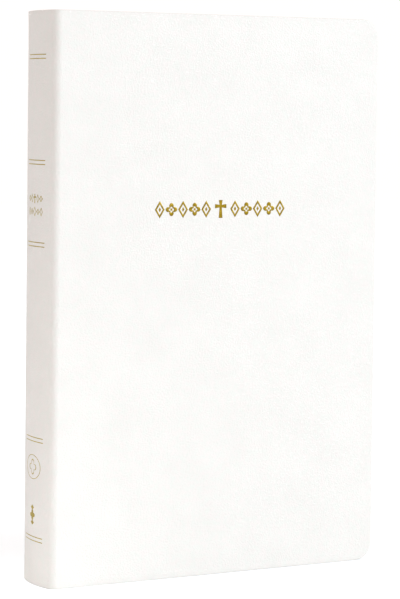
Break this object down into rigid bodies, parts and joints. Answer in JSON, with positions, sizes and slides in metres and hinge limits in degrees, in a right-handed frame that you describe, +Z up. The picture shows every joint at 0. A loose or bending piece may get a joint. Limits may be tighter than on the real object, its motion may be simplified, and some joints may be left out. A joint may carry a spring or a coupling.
{
  "type": "bible",
  "caption": "Upright limp-bound bible in white grained imitation leather, with a round spine, hinged covers and sewn gatherings that fan open.",
  "frame": {"origin": "under the middle of the closed book, on the surface it stands on", "axes": "+Z up the spine from tail to head, +X from the spine to the fore-edge, -Y out of the front cover and +Y out of the rear cover"},
  "size_m": [0.143, 0.026, 0.216],
  "materials": {
    "white_leather": "white pebble-grained imitation leather, soft sheen, gold-stamped",
    "card": "grey flexible card",
    "kraft": "brown kraft lining paper",
    "gauze": "open-weave starched gauze",
    "thread": "linen sewing thread",
    "band": "woven cotton headband",
    "endpaper": "smooth off-white endpaper",
    "page": "thin off-white printing paper"
  },
  "bodies": {
    "spine": {"spine_leather": "white_leather", "spine_card": "card", "spine_lining": "kraft", "spine_mull": "gauze", "headband": "band", "tailband": "band", "sewing_thread_1": "thread", "sewing_thread_2": "thread", "sewing_thread_3": "thread", "sewing_thread_4": "thread", "sewing_thread_5": "thread"},
    "front_cover": {"front_cover_leather": "white_leather", "front_board": "card", "front_mull_wing": "gauze", "front_pastedown": "endpaper"},
    "front_flyleaf": {"front_flyleaf": "endpaper"},
    "gathering_01": {"gathering_01": "page"},
    "gathering_02": {"gathering_02": "page"},
    "gathering_03": {"gathering_03": "page"},
    "gathering_04": {"gathering_04": "page"},
    "gathering_05": {"gathering_05": "page"},
    "gathering_06": {"gathering_06": "page"},
    "gathering_07": {"gathering_07": "page"},
    "gathering_08": {"gathering_08": "page"},
    "gathering_09": {"gathering_09": "page"},
    "gathering_10": {"gathering_10": "page"},
    "rear_cover": {"rear_cover_leather": "white_leather", "rear_board": "card", "rear_mull_wing": "gauze", "rear_pastedown": "endpaper"},
    "rear_flyleaf": {"rear_flyleaf": "endpaper"},
    "gathering_20": {"gathering_20": "page"},
    "gathering_19": {"gathering_19": "page"},
    "gathering_18": {"gathering_18": "page"},
    "gathering_17": {"gathering_17": "page"},
    "gathering_16": {"gathering_16": "page"},
    "gathering_15": {"gathering_15": "page"},
    "gathering_14": {"gathering_14": "page"},
    "gathering_13": {"gathering_13": "page"},
    "gathering_12": {"gathering_12": "page"},
    "gathering_11": {"gathering_11": "page"}
  },
  "joints": [
    {"name": "front_cover_hinge", "type": "hinge", "parent": "spine", "child": "front_cover", "pos_m": [-0.06692, -0.0133, 0], "axis": [0, 0, -1], "range_deg": [0, 178]},
    {"name": "front_flyleaf_hinge", "type": "hinge", "parent": "spine", "child": "front_flyleaf", "pos_m": [-0.06692, -0.0133, 0], "axis": [0, 0, -1], "range_deg": [0, 169.2]},
    {"name": "gathering_01_hinge", "type": "hinge", "parent": "spine", "child": "gathering_01", "pos_m": [-0.06692, -0.0133, 0], "axis": [0, 0, -1], "range_deg": [0, 159.4]},
    {"name": "gathering_02_hinge", "type": "hinge", "parent": "spine", "child": "gathering_02", "pos_m": [-0.06692, -0.0133, 0], "axis": [0, 0, -1], "range_deg": [0, 151.9]},
    {"name": "gathering_03_hinge", "type": "hinge", "parent": "spine", "child": "gathering_03", "pos_m": [-0.06692, -0.0133, 0], "axis": [0, 0, -1], "range_deg": [0, 137.7]},
    {"name": "gathering_04_hinge", "type": "hinge", "parent": "spine", "child": "gathering_04", "pos_m": [-0.06692, -0.0133, 0], "axis": [0, 0, -1], "range_deg": [0, 117.9]},
    {"name": "gathering_05_hinge", "type": "hinge", "parent": "spine", "child": "gathering_05", "pos_m": [-0.06692, -0.0133, 0], "axis": [0, 0, -1], "range_deg": [0, 95]},
    {"name": "gathering_06_hinge", "type": "hinge", "parent": "spine", "child": "gathering_06", "pos_m": [-0.06692, -0.0133, 0], "axis": [0, 0, -1], "range_deg": [0, 70.8]},
    {"name": "gathering_07_hinge", "type": "hinge", "parent": "spine", "child": "gathering_07", "pos_m": [-0.06692, -0.0133, 0], "axis": [0, 0, -1], "range_deg": [0, 47.8]},
    {"name": "gathering_08_hinge", "type": "hinge", "parent": "spine", "child": "gathering_08", "pos_m": [-0.06692, -0.0133, 0], "axis": [0, 0, -1], "range_deg": [0, 28]},
    {"name": "gathering_09_hinge", "type": "hinge", "parent": "spine", "child": "gathering_09", "pos_m": [-0.06692, -0.0133, 0], "axis": [0, 0, -1], "range_deg": [0, 13.8]},
    {"name": "gathering_10_hinge", "type": "hinge", "parent": "spine", "child": "gathering_10", "pos_m": [-0.06692, -0.0133, 0], "axis": [0, 0, -1], "range_deg": [0, 6.3]},
    {"name": "rear_cover_hinge", "type": "hinge", "parent": "spine", "child": "rear_cover", "pos_m": [-0.06692, 0.0133, 0], "axis": [0, 0, 1], "range_deg": [0, 178]},
    {"name": "rear_flyleaf_hinge", "type": "hinge", "parent": "spine", "child": "rear_flyleaf", "pos_m": [-0.06692, 0.0133, 0], "axis": [0, 0, 1], "range_deg": [0, 169.2]},
    {"name": "gathering_20_hinge", "type": "hinge", "parent": "spine", "child": "gathering_20", "pos_m": [-0.06692, 0.0133, 0], "axis": [0, 0, 1], "range_deg": [0, 159.4]},
    {"name": "gathering_19_hinge", "type": "hinge", "parent": "spine", "child": "gathering_19", "pos_m": [-0.06692, 0.0133, 0], "axis": [0, 0, 1], "range_deg": [0, 151.9]},
    {"name": "gathering_18_hinge", "type": "hinge", "parent": "spine", "child": "gathering_18", "pos_m": [-0.06692, 0.0133, 0], "axis": [0, 0, 1], "range_deg": [0, 137.7]},
    {"name": "gathering_17_hinge", "type": "hinge", "parent": "spine", "child": "gathering_17", "pos_m": [-0.06692, 0.0133, 0], "axis": [0, 0, 1], "range_deg": [0, 117.9]},
    {"name": "gathering_16_hinge", "type": "hinge", "parent": "spine", "child": "gathering_16", "pos_m": [-0.06692, 0.0133, 0], "axis": [0, 0, 1], "range_deg": [0, 95]},
    {"name": "gathering_15_hinge", "type": "hinge", "parent": "spine", "child": "gathering_15", "pos_m": [-0.06692, 0.0133, 0], "axis": [0, 0, 1], "range_deg": [0, 70.8]},
    {"name": "gathering_14_hinge", "type": "hinge", "parent": "spine", "child": "gathering_14", "pos_m": [-0.06692, 0.0133, 0], "axis": [0, 0, 1], "range_deg": [0, 47.8]},
    {"name": "gathering_13_hinge", "type": "hinge", "parent": "spine", "child": "gathering_13", "pos_m": [-0.06692, 0.0133, 0], "axis": [0, 0, 1], "range_deg": [0, 28]},
    {"name": "gathering_12_hinge", "type": "hinge", "parent": "spine", "child": "gathering_12", "pos_m": [-0.06692, 0.0133, 0], "axis": [0, 0, 1], "range_deg": [0, 13.8]},
    {"name": "gathering_11_hinge", "type": "hinge", "parent": "spine", "child": "gathering_11", "pos_m": [-0.06692, 0.0133, 0], "axis": [0, 0, 1], "range_deg": [0, 6.3]}
  ],
  "couplings": [
    {"joint": "front_flyleaf_hinge", "follows": "front_cover_hinge", "ratio": 0.95},
    {"joint": "gathering_01_hinge", "follows": "front_cover_hinge", "ratio": 0.895},
    {"joint": "gathering_02_hinge", "follows": "front_cover_hinge", "ratio": 0.853},
    {"joint": "gathering_03_hinge", "follows": "front_cover_hinge", "ratio": 0.773},
    {"joint": "gathering_04_hinge", "follows": "front_cover_hinge", "ratio": 0.662},
    {"joint": "gathering_05_hinge", "follows": "front_cover_hinge", "ratio": 0.533},
    {"joint": "gathering_06_hinge", "follows": "front_cover_hinge", "ratio": 0.397},
    {"joint": "gathering_07_hinge", "follows": "front_cover_hinge", "ratio": 0.268},
    {"joint": "gathering_08_hinge", "follows": "front_cover_hinge", "ratio": 0.157},
    {"joint": "gathering_09_hinge", "follows": "front_cover_hinge", "ratio": 0.077},
    {"joint": "gathering_10_hinge", "follows": "front_cover_hinge", "ratio": 0.035},
    {"joint": "rear_flyleaf_hinge", "follows": "rear_cover_hinge", "ratio": 0.95},
    {"joint": "gathering_20_hinge", "follows": "rear_cover_hinge", "ratio": 0.895},
    {"joint": "gathering_19_hinge", "follows": "rear_cover_hinge", "ratio": 0.853},
    {"joint": "gathering_18_hinge", "follows": "rear_cover_hinge", "ratio": 0.773},
    {"joint": "gathering_17_hinge", "follows": "rear_cover_hinge", "ratio": 0.662},
    {"joint": "gathering_16_hinge", "follows": "rear_cover_hinge", "ratio": 0.533},
    {"joint": "gathering_15_hinge", "follows": "rear_cover_hinge", "ratio": 0.397},
    {"joint": "gathering_14_hinge", "follows": "rear_cover_hinge", "ratio": 0.268},
    {"joint": "gathering_13_hinge", "follows": "rear_cover_hinge", "ratio": 0.157},
    {"joint": "gathering_12_hinge", "follows": "rear_cover_hinge", "ratio": 0.077},
    {"joint": "gathering_11_hinge", "follows": "rear_cover_hinge", "ratio": 0.035}
  ]
}
